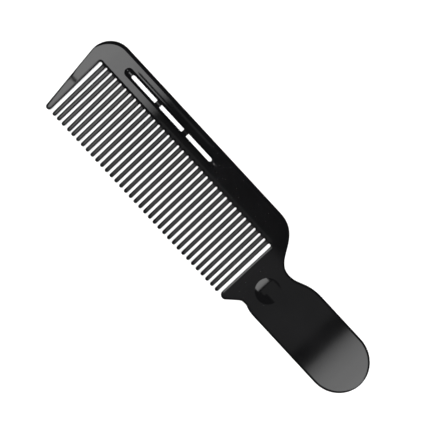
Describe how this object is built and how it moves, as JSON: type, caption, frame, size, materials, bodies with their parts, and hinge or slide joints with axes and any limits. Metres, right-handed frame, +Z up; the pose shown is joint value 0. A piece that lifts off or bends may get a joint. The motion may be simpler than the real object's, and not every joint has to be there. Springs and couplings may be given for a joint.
{
  "type": "clipper comb",
  "caption": "Flat barber's clipper comb with coarse teeth between two guards, a windowed channel in its spine, a waisted neck with a thumb dish and a wide round-ended handle.",
  "frame": {"origin": "under the middle of the bounding box, on the plane of the comb's flat underside", "axes": "+X from the toe to the handle's end, +Y towards the spine's outer edge, +Z up out of either face: both are alike"},
  "size_m": [0.235, 0.055, 0.004],
  "materials": {
    "black_plastic": "polished injection moulding"
  },
  "bodies": {
    "root": {"spine_toe": "black_plastic", "spine_outer_rail": "black_plastic", "spine_tooth_rail": "black_plastic", "window_bridge_1": "black_plastic", "window_bridge_2": "black_plastic", "spine_rear": "black_plastic", "front_guard_tooth": "black_plastic", "heel_guard": "black_plastic", "neck": "black_plastic", "thumb_rest": "black_plastic", "handle": "black_plastic", "handle_end": "black_plastic", "tooth_01": "black_plastic", "tooth_02": "black_plastic", "tooth_03": "black_plastic", "tooth_04": "black_plastic", "tooth_05": "black_plastic", "tooth_06": "black_plastic", "tooth_07": "black_plastic", "tooth_08": "black_plastic", "tooth_09": "black_plastic", "tooth_10": "black_plastic", "tooth_11": "black_plastic", "tooth_12": "black_plastic", "tooth_13": "black_plastic", "tooth_14": "black_plastic", "tooth_15": "black_plastic", "tooth_16": "black_plastic", "tooth_17": "black_plastic", "tooth_18": "black_plastic", "tooth_19": "black_plastic", "tooth_20": "black_plastic", "tooth_21": "black_plastic", "tooth_22": "black_plastic", "tooth_23": "black_plastic", "tooth_24": "black_plastic", "tooth_25": "black_plastic", "tooth_26": "black_plastic", "tooth_27": "black_plastic", "tooth_28": "black_plastic", "tooth_29": "black_plastic", "tooth_30": "black_plastic", "tooth_31": "black_plastic", "tooth_32": "black_plastic", "tooth_33": "black_plastic", "tooth_34": "black_plastic", "tooth_35": "black_plastic"}
  },
  "joints": []
}
